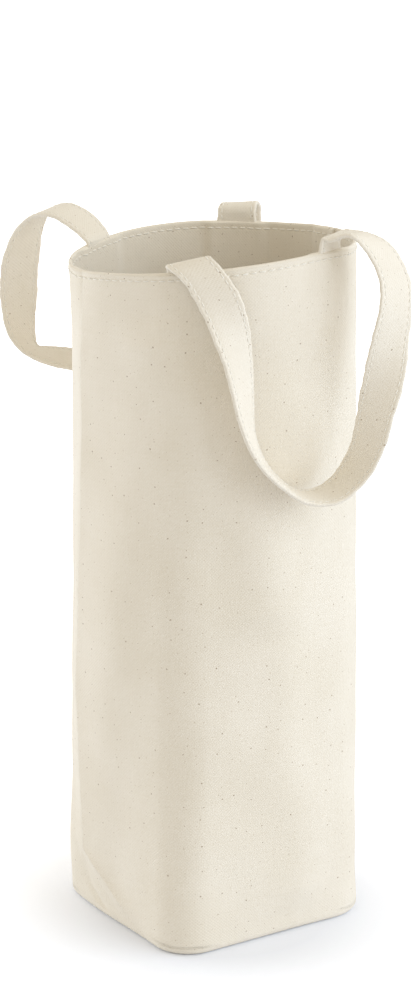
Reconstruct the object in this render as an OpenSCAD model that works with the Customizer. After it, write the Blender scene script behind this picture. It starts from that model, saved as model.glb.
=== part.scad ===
// Carrier for one bottle: an open canvas bag with a boxed bottom and two strap handles.
// It stands on its base with the mouth up. The origin is the middle of the base's underside.
// X points to the right side, Y to the back, and angles run from the right side over the back.

/* [Bag] */
// Height of the rim above the ground, halfway between its high and low side
bag_h = 298; // [250:1:340]
// Width of the base, side to side
base_w = 101; // [90:1:112]
// Depth of the base, front to back
base_d = 98; // [88:1:110]
// Radius of the base's corners, seen from above
base_corner_r = 17; // [12:0.5:24]
// Radius of the bend between base and wall
bottom_edge_r = 3; // [2.5:0.1:4]
// Long axis of the oval mouth
mouth_long = 119; // [112:1:128]
// Short axis of the oval mouth
mouth_short = 110; // [104:1:118]
// Height by which the rim stands higher at the right side, and lower at the left side
rim_rise = 4; // [0:0.5:6]
// How much the rim dips at both sides
rim_wave = 1.2; // [0:0.1:3]

/* [Cloth] */
// Thickness of one layer of canvas
canvas_t = 0.8; // [0.6:0.05:1]
// Space between two layers that are sewn together
cloth_gap = 0.15; // [0.1:0.01:0.25]

/* [Hem and seams] */
// Height of the hem that is turned in along the rim
hem_h = 28; // [25:1:34]
// Width of the seam allowances inside the bag
seam_w = 8; // [6:0.5:10]
// Length of the two short seams that box the bottom
corner_seam_l = 58; // [48:1:64]
// How far the bottom seam bows to the back at its middle
bottom_seam_bow = 4; // [3:0.5:6]

/* [Handles] */
// Width of the strap
strap_w = 17; // [15:0.5:18]
// Thickness of the strap, which is canvas folded in layers
strap_t = 1.8; // [1.4:0.1:2]
// Length of each strap end that is tucked under the hem
tuck_l = 22; // [16:1:24]
// Height of the front handle's folds above the rim
front_fold_rise = 6; // [4:0.5:8]
// Height of the back handle's folds above the rim
back_fold_rise = 4; // [3:0.5:6]
// Depth to which a handle's route hangs below its folds
handle_drop = 100; // [90:1:110]
// Least space between the wall and the edge of a hanging handle
handle_clear = 1.4; // [1.2:0.1:3]
// Space between a moving strap and the sewn end that it folds over
fold_gap = 0.4; // [0.3:0.05:0.5]

/* [Hidden] */

canvas_colour = [0.93, 0.90, 0.83];
seam_colour = [0.86, 0.81, 0.71];
strap_colour = [0.95, 0.93, 0.87];

// Two layers of canvas lie in each seam allowance
seam_t = 2 * canvas_t;
// Depth below the outer face at which whatever lies against the panels begins
layer_depth = canvas_t + cloth_gap;
// Half an opening between two panel edges, as an angle round the mouth
seam_gap_turn = 180 / PI * cloth_gap / mouth_long;

// The mouth's long axis, the middles of the handles and half the angle between a handle's ends
mouth_turn = -40;
front_turn = 262;
back_turn = 82;
root_turn = 35.5;

// Counts of the cloth's faces round half the bag, of the tucked ends and of the handles' routes
side_columns = 6;
steady_columns = 24;
panel_columns = steady_columns + 2 * side_columns;
hem_columns = 60;
end_columns = 6;
route_steps = 3;

// Share of the turn from the base's square to the mouth's oval, by share of the height
plan_blend_shares = [[0, 0], [0.1, 0.25], [0.5, 0.7], [1, 1]];
// Angle of the left side seam by share of the height: the sewn base is pushed square, so it twists
side_seam_turn_shares = [[0, 205], [0.1, 160], [0.35, 161], [0.65, 167], [1, 172]];
// Heights of the wall's rows of points, as shares of the height
wall_row_shares = [0.03, 0.065, 0.1, 0.16, 0.25, 0.37, 0.5, 0.63, 0.77, 0.9, 1];
// Bend between base and wall, as angles from the ground
edge_turns = [0, 45, 90];
// Least cosine or sine that a length is divided by
least_share = 0.000001;
// How the hem's bulges level off and fall beside what they cover, as shares of the strap's thickness
flat_share = 1.33;
fall_share = 3;
// Where the bottom seam's allowance ends, clear of the corner seams, as a share of its width
bottom_seam_end_share = 1.75;
// Between these angles the front panel's columns stand upright, past both of its corners
steady_from = 208;
steady_to = 332;

// Route of each handle's middle line as shares of half the distance between its ends, of its
// reach and of its drop, each with the direction to the strap's front edge as three shares
front_route_shares = [
    [[-1, 0, 0], [-1, 0, 0]],
    [[-0.97, 0.12, 0.003], [-0.99, -0.05, -0.02]],
    [[-0.93, 0.26, -0.015], [-0.96, -0.18, -0.12]],
    [[-0.87, 0.42, -0.06], [-0.95, -0.2, -0.22]],
    [[-0.78, 0.6, -0.14], [-0.95, 0, -0.3]],
    [[-0.7, 0.75, -0.24], [-0.95, 0.1, -0.2]],
    [[-0.66, 0.85, -0.35], [-0.92, 0.35, -0.1]],
    [[-0.63, 0.9, -0.47], [-0.8, 0.55, -0.05]],
    [[-0.62, 0.95, -0.59], [-0.7, 0.7, 0]],
    [[-0.58, 1, -0.72], [-0.5, 0.85, 0]],
    [[-0.45, 1, -0.83], [-0.35, 0.9, 0]],
    [[-0.22, 1, -0.93], [-0.2, 0.95, 0]],
    [[0.06, 1, -1.005], [-0.1, 1, -0.05]],
    [[0.41, 1.02, -1.01], [0.1, 0.97, -0.15]],
    [[0.72, 1.05, -0.94], [0.3, 0.94, -0.12]],
    [[0.94, 1.1, -0.84], [0.43, 0.9, -0.1]],
    [[1.12, 1.15, -0.69], [0.62, 0.77, -0.05]],
    [[1.26, 1.15, -0.55], [0.9, 0.42, 0]],
    [[1.37, 1.12, -0.41], [1, 0, 0]],
    [[1.45, 1.05, -0.29], [0.97, -0.24, 0]],
    [[1.5, 0.95, -0.19], [0.94, -0.34, 0]],
    [[1.5, 0.8, -0.1], [0.88, -0.47, 0]],
    [[1.44, 0.6, -0.04], [0.84, -0.54, 0]],
    [[1.32, 0.38, 0], [0.84, -0.54, 0]],
    [[1.18, 0.22, 0.008], [0.92, -0.38, 0]],
    [[1.08, 0.1, 0], [0.99, -0.12, 0]],
    [[1, 0, 0], [1, 0, 0]]
];
back_route_shares = [
    [[1, 0, 0], [-1, 0, 0]],
    [[1.06, 0.1, 0], [-0.99, 0.14, 0]],
    [[1.12, 0.22, 0.005], [-0.93, 0.36, 0.05]],
    [[1.18, 0.42, 0.015], [-0.82, 0.52, 0.12]],
    [[1.24, 0.75, 0.025], [-0.75, 0.5, 0.3]],
    [[1.32, 1.15, 0.02], [-0.75, 0.5, 0.3]],
    [[1.46, 1.5, -0.005], [-0.8, 0.45, 0.3]],
    [[1.62, 1.7, -0.05], [-0.85, 0.4, 0.2]],
    [[1.75, 1.75, -0.125], [-0.9, 0.3, 0.1]],
    [[1.82, 1.75, -0.225], [-0.95, 0.1, 0]],
    [[1.86, 1.7, -0.365], [-1, 0, 0]],
    [[1.85, 1.6, -0.475], [-1, 0.15, 0]],
    [[1.76, 1.55, -0.565], [-0.8, 0.5, 0.1]],
    [[1.55, 1.5, -0.625], [-0.4, 0.85, 0.3]],
    [[1.24, 1.4, -0.65], [-0.1, 0.92, 0.35]],
    [[0.86, 1.3, -0.675], [0, 0.95, 0.3]],
    [[0.44, 1.15, -0.715], [0, 0.97, 0.2]],
    [[0, 1.05, -0.735], [0, 1, 0.1]],
    [[-0.4, 1, -0.705], [0, 1, 0]],
    [[-0.75, 1, -0.625], [0.1, 0.98, 0]],
    [[-1, 1, -0.505], [0.2, 0.95, 0]],
    [[-1.15, 1, -0.365], [0.35, 0.9, 0]],
    [[-1.24, 0.95, -0.225], [0.5, 0.85, 0]],
    [[-1.27, 0.75, -0.105], [0.65, 0.75, 0]],
    [[-1.2, 0.48, -0.025], [0.78, 0.63, 0]],
    [[-1.1, 0.22, 0], [0.92, 0.36, 0]],
    [[-1.04, 0.1, 0], [0.99, 0.12, 0]],
    [[-1, 0, 0], [1, 0, 0]]
];

// Plan of the bag: distance from the middle to the outer face, by angle and share of the height

function oval_r(turn) =
    1 / sqrt(pow(2 * cos(turn - mouth_turn) / mouth_long, 2) + pow(2 * sin(turn - mouth_turn) / mouth_short, 2));

function square_r(turn) =
    let(c = abs(cos(turn)), s = abs(sin(turn)))
    let(flat_x = base_w / 2 - base_corner_r, flat_y = base_d / 2 - base_corner_r)
    let(side = min(base_w / 2 / max(c, least_share), base_d / 2 / max(s, least_share)))
    let(reach = c * flat_x + s * flat_y)
    let(rest = reach * reach - flat_x * flat_x - flat_y * flat_y + base_corner_r * base_corner_r)
    side * c > flat_x && side * s > flat_y ? reach + sqrt(max(rest, 0)) : side;

function plan_r(turn, share) =
    let(blend = lookup(share, plan_blend_shares))
    (1 - blend) * square_r(turn) + blend * oval_r(turn);

function rim_z(turn) = bag_h + rim_rise * cos(turn) - rim_wave * cos(2 * turn);

function at_turn(turn, r, z) = [r * cos(turn), r * sin(turn), z];

// A point of the wall at a depth inside its outer face
function wall_point(turn, share, depth) =
    at_turn(turn, plan_r(turn, share) - depth, share * rim_z(turn));

// A point of the bend between base and wall
function edge_point(turn, bend, depth) =
    at_turn(
        turn,
        plan_r(turn, bottom_edge_r / bag_h) - bottom_edge_r + (bottom_edge_r - depth) * sin(bend),
        bottom_edge_r - (bottom_edge_r - depth) * cos(bend)
    );

function seam_turn(share, side) = lookup(share, side_seam_turn_shares) + (side == "right" ? 180 : 0);

// Angle of a part of the way round the front or back half, from seam to seam
function half_turn(share, part, front) =
    let(first = front ? seam_turn(share, "left") : seam_turn(share, "right"))
    first + seam_gap_turn + part * (180 - 2 * seam_gap_turn);

// Angle of a panel's column: the middle ones stand upright and the others follow the side seams
function column_turn(share, j, front) =
    let(half = front ? 0 : 180)
    j < side_columns
        ? along(half_turn(share, 0, front), steady_from + half, j / side_columns)
        : j > side_columns + steady_columns
            ? along(half_turn(share, 1, front), steady_to + half, (panel_columns - j) / side_columns)
            : along(steady_from, steady_to, (j - side_columns) / steady_columns) + half;

function along(from, to, part) = from + part * (to - from);

function unit(v) = v / norm(v);

// Cloth between two grids of points: the near one is seen with its columns running left to right

function grid_faces(rows, columns, flip, start) = [
    for (i = [0:rows - 2])
        for (j = [0:columns - 2])
            let(a = start + i * columns + j, b = a + 1, c = a + columns + 1, d = a + columns)
                for (face = [[a, b, c], [a, c, d]])
                    flip ? [face[2], face[1], face[0]] : face
];

function wall_faces(near, count) = [
    for (k = [0:len(near) - 2])
        let(a = near[k], b = near[k + 1])
            for (face = [[a, b + count, a + count], [a, b, b + count]])
                face
];

module cloth(near, far) {
    rows = len(near);
    columns = len(near[0]);
    count = rows * columns;
    near_points = [for (row = near) for (p = row) p];
    far_points = [for (row = far) for (p = row) p];
    around = concat(
        [for (j = [0:columns - 1]) j],
        [for (i = [1:rows - 1]) i * columns + columns - 1],
        [for (j = [columns - 2:-1:0]) (rows - 1) * columns + j],
        [for (i = [rows - 2:-1:0]) i * columns]
    );
    polyhedron(
        points = concat(near_points, far_points),
        faces = concat(
            grid_faces(rows, columns, true, 0),
            grid_faces(rows, columns, false, count),
            wall_faces(around, count)
        ),
        convexity = 6
    );
}

// Panels: each makes half of the wall and half of the base

function base_corner(side, depth) = edge_point(seam_turn(0, side), 0, depth);

// The bottom seam's line, from the left side seam to the right one
function bottom_line(part, depth) =
    let(a = base_corner("left", depth), b = base_corner("right", depth))
    let(across = unit(b - a), back = [-across[1], across[0], 0])
    along(a, b, part) + bottom_seam_bow * sin(180 * part) * back;

// One row of a panel's points on the bottom seam, half a gap from the other panel's
function seam_row(front, depth) =
    let(a = base_corner("left", depth), b = base_corner("right", depth))
    let(across = unit(b - a), back = [-across[1], across[0], 0])
    let(inset = cloth_gap / norm(b - a))
    [for (j = [0:panel_columns])
        let(part = along(inset, 1 - inset, j / panel_columns))
        bottom_line(front ? part : 1 - part, depth) + (front ? -1 : 1) * cloth_gap / 2 * back];

function panel_grid(front, depth) = concat(
    [seam_row(front, depth)],
    [for (bend = edge_turns)
        [for (j = [0:panel_columns]) edge_point(column_turn(0, j, front), bend, depth)]],
    [for (share = wall_row_shares)
        [for (j = [0:panel_columns])
            wall_point(column_turn(share, j, front), share, depth)]]
);

module panel(front) {
    cloth(panel_grid(front, 0), panel_grid(front, canvas_t));
}

module front_panel() {
    color(canvas_colour) panel(true);
}

module back_panel() {
    color(canvas_colour) panel(false);
}

// Hems: the panels' tops turned in, with room for the strap ends and the side seams

// 1 where a layer lies below the hem, falling to 0 beside it
function cover_share(distance, half_width) =
    let(flat = half_width + flat_share * strap_t, fall = fall_share * strap_t)
    min(1, max(0, (flat + fall - distance) / fall));

function turn_between(a, b) = abs((a - b + 540) % 360 - 180);

function length_between(turn, a, share) = turn_between(turn, a) * PI / 180 * plan_r(a, share);

function root_lift(turn, share) = max([
    for (root = [front_turn - root_turn, front_turn + root_turn, back_turn - root_turn, back_turn + root_turn])
        cover_share(length_between(turn, root, share), strap_w / 2)
]) * (strap_t + cloth_gap);

function seam_lift(turn, share) = max([
    for (side = ["left", "right"])
        let(middle = seam_turn(share, side) + (side == "left" ? -1 : 1) * allowance_turn(share) / 2)
        cover_share(length_between(turn, middle, share), seam_w / 2)
]) * (seam_t + cloth_gap);

// The angle that a side seam's allowance takes
function allowance_turn(share) = 180 / PI * seam_w / plan_r(seam_turn(share, "left"), share);

function hem_depth(turn, share, front) =
    layer_depth + max(root_lift(turn, share), front ? 0 : seam_lift(turn, share));

function hem_grid(front, depth) =
    let(low_share = 1 - hem_h / bag_h)
    [for (share = [low_share, (1 + low_share) / 2, 1])
        [for (j = [0:hem_columns])
            let(turn = half_turn(share, j / hem_columns, front))
            wall_point(turn, share, hem_depth(turn, share, front) + depth)]];

module hem(front) {
    cloth(hem_grid(front, 0), hem_grid(front, canvas_t));
}

module front_hem() {
    color(canvas_colour) hem(true);
}

module back_hem() {
    color(canvas_colour) hem(false);
}

// Seam allowances inside the bag

function allowance_grid(side, depth) =
    let(way = side == "left" ? -1 : 1)
    [for (share = wall_row_shares)
        [for (k = [0:2])
            let(part = side == "left" ? 1 - k / 2 : k / 2)
            let(turn = seam_turn(share, side) + way * (seam_gap_turn + part * allowance_turn(share)))
            wall_point(turn, share, layer_depth + depth)]];

module side_seam(side) {
    cloth(allowance_grid(side, 0), allowance_grid(side, seam_t));
}

module left_side_seam() {
    color(seam_colour) side_seam("left");
}

module right_side_seam() {
    color(seam_colour) side_seam("right");
}

// The corner seams follow the base's outline and lie flat on the base
function corner_seam_grid(side, z) =
    let(middle = seam_turn(0, side), half = 90 * corner_seam_l / PI / plan_r(middle, 0))
    [for (inset = [bottom_edge_r + seam_w, bottom_edge_r])
        [for (k = [0:8])
            let(turn = middle + half * along(-1, 1, k / 8))
            at_turn(turn, plan_r(turn, 0) - inset, z)]];

module corner_seam(side) {
    cloth(corner_seam_grid(side, layer_depth), corner_seam_grid(side, layer_depth + seam_t));
}

module left_corner_seam() {
    color(seam_colour) corner_seam("left");
}

module right_corner_seam() {
    color(seam_colour) corner_seam("right");
}

// The bottom seam's allowance lies to the back and ends short of the corner seams
function bottom_seam_grid(z) =
    let(a = base_corner("left", 0), b = base_corner("right", 0))
    let(across = unit(b - a), back = [-across[1], across[0], 0])
    let(inset = bottom_seam_end_share * seam_w / norm(b - a))
    [for (side = [1, 0])
        [for (k = [0:12])
            let(p = bottom_line(along(inset, 1 - inset, k / 12), 0))
            [p[0], p[1], z] + (cloth_gap / 2 + side * seam_w) * back]];

module bottom_seam() {
    color(seam_colour) cloth(bottom_seam_grid(layer_depth), bottom_seam_grid(layer_depth + seam_t));
}

// Handles: the straps turn on a line through the folds of their two ends

strap_depth = layer_depth + strap_t / 2;

function root_point(turn, rise) = wall_point(turn, 1, strap_depth) + [0, 0, rise];

// Middle between a handle's folds, the directions across, outward and up, and half their distance
function handle_frame(turn, rise) =
    let(a = root_point(turn - root_turn, rise), b = root_point(turn + root_turn, rise))
    let(across = unit(b - a), level = [cos(turn), sin(turn), 0])
    let(out = unit(level - level * across * across), above = cross(across, out))
    [(a + b) / 2, across, out, above[2] < 0 ? -above : above, norm(b - a) / 2];

// How far the strap's middle line stands out, so that its edge clears the wall where it hangs
function handle_reach(turn, frame) =
    let(share = 1 - handle_drop / bag_h)
    (wall_point(turn, share, 0) - frame[0]) * frame[2] + handle_clear + strap_w / 2;

function turned(v, frame) = v[0] * frame[1] + v[1] * frame[2] + v[2] * frame[3];

function spline(p, i, t) =
    let(last = len(p) - 1)
    let(b = p[i], c = p[i + 1])
    let(a = i > 0 ? p[i - 1] : 2 * b - c, d = i + 2 <= last ? p[i + 2] : 2 * c - b)
    (2 * b + (c - a) * t + (2 * a - 5 * b + 4 * c - d) * t * t + (3 * b - a - 3 * c + d) * t * t * t) / 2;

function smooth(p) = concat(
    [for (i = [0:len(p) - 2]) for (k = [0:route_steps - 1]) spline(p, i, k / route_steps)],
    [p[len(p) - 1]]
);

// The four corners of a section across the strap, which may be slanted to its way along the route
function strap_section(middle, way, edge) =
    let(square = cross(way, unit(edge)), slanted_w = strap_w / norm(square))
    [for (corner = [[1, 1], [-1, 1], [-1, -1], [1, -1]])
        middle + corner[0] * slanted_w / 2 * unit(edge) + corner[1] * strap_t / 2 * unit(square)];

module handle(shares, turn, rise) {
    frame = handle_frame(turn, rise);
    reach = handle_reach(turn, frame);
    route = smooth([
        for (row = shares)
            frame[0] + turned([row[0][0] * frame[4], row[0][1] * reach, row[0][2] * handle_drop], frame)
    ]);
    edges = smooth([for (row = shares) turned(row[1], frame)]);
    last = len(route) - 1;
    sections = [
        for (i = [0:last])
            let(way = unit(route[min(i + 1, last)] - route[max(i - 1, 0)]))
            strap_section(route[i], way, edges[i])
    ];
    polyhedron(
        points = [for (section = sections) for (p = section) p],
        faces = concat(
            [[0, 1, 2, 3], [4 * last + 3, 4 * last + 2, 4 * last + 1, 4 * last]],
            [for (i = [0:last - 1])
                for (k = [0:3])
                    let(a = 4 * i + k, b = 4 * i + (k + 1) % 4)
                        for (face = [[a, a + 4, b + 4], [a, b + 4, b]])
                            face]
        ),
        convexity = 8
    );
}

module front_handle() {
    color(strap_colour) handle(front_route_shares, front_turn, front_fold_rise);
}

module back_handle() {
    color(strap_colour) handle(back_route_shares, back_turn, back_fold_rise);
}

// The sewn ends lie between panel and hem, and above the rim they turn in line with the folds
module strap_end(side, turn, rise) {
    frame = handle_frame(turn, rise);
    root = turn + side * root_turn;
    half = 90 * strap_w / PI / plan_r(root, 1);
    top = root_point(root, rise) - (fold_gap + strap_t / 2) * frame[3];
    function grid(depth) = concat(
        [for (height = [-tuck_l, -tuck_l / 2, 0])
            [for (k = [0:end_columns])
                let(place = root + half * along(-1, 1, k / end_columns))
                wall_point(place, 1 + height / rim_z(place), layer_depth + depth)]],
        [[for (k = [0:end_columns])
            top + strap_w / 2 * along(-1, 1, k / end_columns) * frame[1] + (strap_t / 2 - depth) * frame[2]]]
    );
    cloth(grid(0), grid(strap_t));
}

module front_handle_left_end() {
    color(strap_colour) strap_end(-1, front_turn, front_fold_rise);
}

module front_handle_right_end() {
    color(strap_colour) strap_end(1, front_turn, front_fold_rise);
}

module back_handle_left_end() {
    color(strap_colour) strap_end(1, back_turn, back_fold_rise);
}

module back_handle_right_end() {
    color(strap_colour) strap_end(-1, back_turn, back_fold_rise);
}

front_panel();
back_panel();
front_hem();
back_hem();
left_side_seam();
right_side_seam();
bottom_seam();
left_corner_seam();
right_corner_seam();
front_handle();
back_handle();
front_handle_left_end();
front_handle_right_end();
back_handle_left_end();
back_handle_right_end();
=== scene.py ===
import math

import bmesh
import bpy
import numpy as np
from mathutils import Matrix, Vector


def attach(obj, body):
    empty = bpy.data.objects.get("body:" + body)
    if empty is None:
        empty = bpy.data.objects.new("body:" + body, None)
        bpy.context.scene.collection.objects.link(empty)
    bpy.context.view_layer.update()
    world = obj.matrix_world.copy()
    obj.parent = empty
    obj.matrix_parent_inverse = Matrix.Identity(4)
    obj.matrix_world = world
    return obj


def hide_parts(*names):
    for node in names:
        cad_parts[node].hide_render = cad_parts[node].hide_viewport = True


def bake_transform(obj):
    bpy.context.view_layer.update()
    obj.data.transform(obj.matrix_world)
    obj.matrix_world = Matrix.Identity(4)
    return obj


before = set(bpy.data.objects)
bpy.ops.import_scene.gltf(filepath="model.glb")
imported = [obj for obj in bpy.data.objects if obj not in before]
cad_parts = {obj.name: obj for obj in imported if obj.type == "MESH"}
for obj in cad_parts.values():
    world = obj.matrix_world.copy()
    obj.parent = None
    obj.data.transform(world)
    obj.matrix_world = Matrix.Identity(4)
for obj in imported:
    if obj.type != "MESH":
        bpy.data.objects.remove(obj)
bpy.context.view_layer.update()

# Sizes in metres and degrees, as in the CAD
BAG_H = 0.298
BASE_W = 0.101
BASE_D = 0.098
CORNER_R = 0.017
EDGE_R = 0.003
MOUTH_LONG = 0.119
MOUTH_SHORT = 0.110
RIM_RISE = 0.004
RIM_WAVE = 0.0012
CANVAS_T = 0.0008
CLOTH_GAP = 0.00015
HEM_H = 0.028
SEAM_W = 0.008
CORNER_SEAM_L = 0.058
SEAM_BOW = 0.004
STRAP_W = 0.017
STRAP_T = 0.0018
TUCK_L = 0.022
FRONT_RISE = 0.006
BACK_RISE = 0.004
HANDLE_DROP = 0.100
HANDLE_CLEAR = 0.0014
MOUTH_TURN = -40
FRONT_TURN = 262
BACK_TURN = 82
ROOT_TURN = 35.5
LAYER_DEPTH = CANVAS_T + CLOTH_GAP
SEAM_T = 2 * CANVAS_T
HEM_IN = LAYER_DEPTH + CANVAS_T
SEAM_TURNS = ([0, 0.1, 0.35, 0.65, 1], [205, 160, 161, 167, 172])

# How the rim stands over the CAD's even one, in millimetres by turn: up at the front, sagging at the back
RIM_SAG = (
    [-20, 5, 20, 40, 120, 150, 163, 178, 195, 215, 288, 300, 312],
    [0, -0.8, -2.3, -2.7, -2.8, -2.2, -2.0, 0.1, 1.5, 2.1, 2.4, 1.0, 0],
)
MM = 0.001

# How far the cloth bulges at its two visible edges: the middle turn, then millimetres by share of height
BULGES = (
    (
        158,
        [0, 0.08, 0.2, 0.37, 0.52, 0.67, 0.77, 0.9, 0.97, 1],
        [1.8, 2.2, 2.1, 3.2, 2.2, 0.9, 0, 0.1, 1.3, 1.9],
    ),
    (335, [0, 0.08, 0.2, 0.37, 0.52, 0.67, 0.9, 1], [2.0, 2.2, 2.0, 1.7, 1.3, 1.1, 0.7, 0.6]),
)
BULGE_SPAN = 52

# Folds pressed into the cloth: turns by height, then the height and the width of the fold
FOLDS = (
    ([0.02, 0.04, 0.10, 0.14, 0.175, 0.20, 0.24], [283, 283, 272, 271, 264, 265, 268], 0.0014, 0.013),
    ([0.001, 0.006, 0.011, 0.016], [176, 168, 160, 158], -0.0010, 0.004),
    ([0.15, 0.175, 0.22, 0.237, 0.253, 0.268], [262, 259, 243, 234, 222, 212], 0.0019, 0.014),
)
FOLD_FADE = 0.012

# Fine sizes that only the looks have
STITCH_BELOW = 0.0030
RIM_PITCH = 0.00375
STRAP_PITCH = 0.0030
STITCH_IN = 0.0020
THREAD_R = 0.00028
THREAD_SIDES = 6
THREAD_END_SHARE = 0.55
FOOT_EASE = 0.008
EASE_BACK = 10
MEETING_GAP = 0.000004

# Mean radius of the bag, which turns angles into lengths along the cloth, and half the way round it
MEAN_R = 0.057
HALF_ROUND = 0.180

# Share of the turn from the base's square to the mouth's oval, by share of the height, as in the CAD
PLAN_BLEND = ([0, 0.1, 0.5, 1], [0, 0.25, 0.7, 1])

# Seam allowances: a side's lowest heights as shares, the thinning of their edges, and their waves on the base
SIDE_SEAM_FOOT = (0.03, 0.1)
ALLOWANCE_EDGE = 0.0003
ALLOWANCE_WAVE = 0.0004

# Slow waves in the cloth: height, waves round the bag, radians per metre of height and starting angle. Then
# the height of the crossed ones, and the lengths over which all fade at the rim and at the foot.
WAVES = ((0.00045, 3, 19, 0.6), (0.00035, 5, -31, 2.1))
CROSS_WAVE = 0.00025
WAVE_RIM_FADE = 0.05
WAVE_FOOT_FADE = 0.02

# The side seams stand out as soft corners: how far and how wide, how far below the rim they start, and the
# lengths over which they fade there and at the foot
PINCH = 0.0022
PINCH_W = 0.0075
PINCH_BELOW = 0.004
PINCH_RIM_FADE = 0.03
PINCH_FOOT_FADE = 0.012

# The sewn-in allowance's ridge: height, how far it reaches past the allowance, and its slopes there, at the
# seam and at the foot
RIDGE = 0.0003
RIDGE_PAST = 0.0006
RIDGE_SLOPE = 0.0014
RIDGE_SEAM_FADE = 0.003
RIDGE_FOOT_FADE = 0.008

# The seam's groove, what the tucked straps press out, and the rim stitching's dent: between and at its holes,
# its width, and its share inside
GROOVE = 0.00005
GROOVE_W = 0.0006
TUCK_PRESS = 0.0003
ROW_DENT = 0.00008
HOLE_DENT = 0.00022
DENT_W = 0.0006
INNER_DENT_SHARE = 0.8

# Room that the hem leaves, each with its slope: past the side allowance, past the strap's edge and below the
# tucked end
SEAM_ROOM = 0.0024
SEAM_SLOPE = 0.0054
TUCK_ROOM = 4.33 * STRAP_T
TUCK_SLOPE = 3 * STRAP_T
TUCK_BELOW = 0.0045
TUCK_FADE = 0.004

# Columns of the cloth's mesh: lengths from a side seam, and the longest step of the rest. Rows: steps over
# the base, bends in degrees, lengths below the rim, longest steps on hem and wall, and the lowest heights.
# Then the arch over the rim, its rows, and the points by which the rim is measured.
NEAR_SEAM = [0, 0.0003, 0.0006, 0.0010, 0.0015, 0.0022, 0.0030]
COLUMN_STEP = 0.0011
BASE_STEPS = 16
BENDS = [15, 30, 45, 60, 75, 90]
NEAR_RIM = [0.0012, 0.0016, 0.0020, 0.0024, 0.0027, 0.0030, 0.0033, 0.0036, 0.0040, 0.0046, 0.0054, 0.0066]
HEM_STEP = 0.0016
WALL_STEP = 0.0019
LAST_ROWS = (0.006, 0.0045)
RIM_ARCH = 0.0012
RIM_BENDS = (0.1, 0.3, 0.5, 0.7, 0.9)
RIM_SAMPLES = 721

# The hem's lower edge, turned under: shares of the way in from the wall, and how low it hangs there
HEM_EDGE = ((0.85, 0.0007), (0.45, 0.0011), (0.1, 0.0008))

# The strap: half its thickness, the dip and the wave along its stitching, its rounded edge, its columns to
# one side in millimetres, the step along its route, how its loop is softened, and its widest slant
STRAP_HALF = 0.00085
STRAP_DIP = 0.00022
STRAP_DIP_W = 0.0005
STRAP_WAVE = 0.00005
STRAP_EDGE = 0.0009
STRAP_COLUMNS = [2, 4, 5.4, 6.1, 6.5, 6.9, 7.3, 7.8, 8.2, 8.42]
ROUTE_STEP = 0.0008
SOFT_ROWS = 4
SOFT_ROUNDS = 40
MOST_SLANT = 1.12

# Stitches on the strap and on the rim: half the gap between two, how high they lie and how far they dive at
# their ends. Then the slant of the strap's, and the bare length at a strap's ends.
STRAP_STITCH = (0.00022, 0.00009, 0.00042)
RIM_STITCH = (0.00035, 0.00016, 0.00045)
STITCH_SLANT = 0.00006
BARE_END = 0.004

# Rows of a handle's route that are sewn in at each end, and the row from which it is softened
TUCK_ROWS = 3
SOFT_FROM = 6

# The handles' free loops: the CAD's rows of middle points, as shares of half the distance between the ends,
# of the reach and of the drop, each with the direction to one edge
FRONT_LOOP = [
    [[-0.66, 0.85, -0.35], [-0.92, 0.35, -0.1]],
    [[-0.63, 0.9, -0.47], [-0.8, 0.55, -0.05]],
    [[-0.62, 0.95, -0.59], [-0.7, 0.7, 0]],
    [[-0.58, 1, -0.72], [-0.5, 0.85, 0]],
    [[-0.45, 1, -0.83], [-0.35, 0.9, 0]],
    [[-0.22, 1, -0.93], [-0.2, 0.95, 0]],
    [[0.06, 1, -1.005], [-0.1, 1, -0.05]],
    [[0.43, 1.025, -1.017], [0.1, 0.97, -0.15]],
    [[0.76, 1.06, -0.947], [0.3, 0.94, -0.12]],
    [[0.97, 1.11, -0.842], [0.43, 0.9, -0.1]],
    [[1.12, 1.15, -0.69], [0.62, 0.77, -0.05]],
    [[1.26, 1.15, -0.55], [0.9, 0.42, 0]],
    [[1.37, 1.12, -0.41], [1, 0, 0]],
    [[1.49, 1.07, -0.28], [0.97, -0.24, 0]],
]
BACK_LOOP = [
    [[1.24, 1.4, -0.65], [-0.1, 0.92, 0.35]],
    [[0.86, 1.3, -0.675], [0, 0.95, 0.3]],
    [[0.44, 1.15, -0.715], [0, 0.97, 0.2]],
    [[0, 1.05, -0.735], [0, 1, 0.1]],
    [[-0.4, 1, -0.705], [0, 1, 0]],
    [[-0.75, 1, -0.625], [0.1, 0.98, 0]],
    [[-1, 1, -0.505], [0.2, 0.95, 0]],
    [[-1.15, 1, -0.365], [0.35, 0.9, 0]],
    [[-1.24, 0.95, -0.225], [0.5, 0.85, 0]],
    [[-1.27, 0.75, -0.105], [0.65, 0.75, 0]],
]

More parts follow.
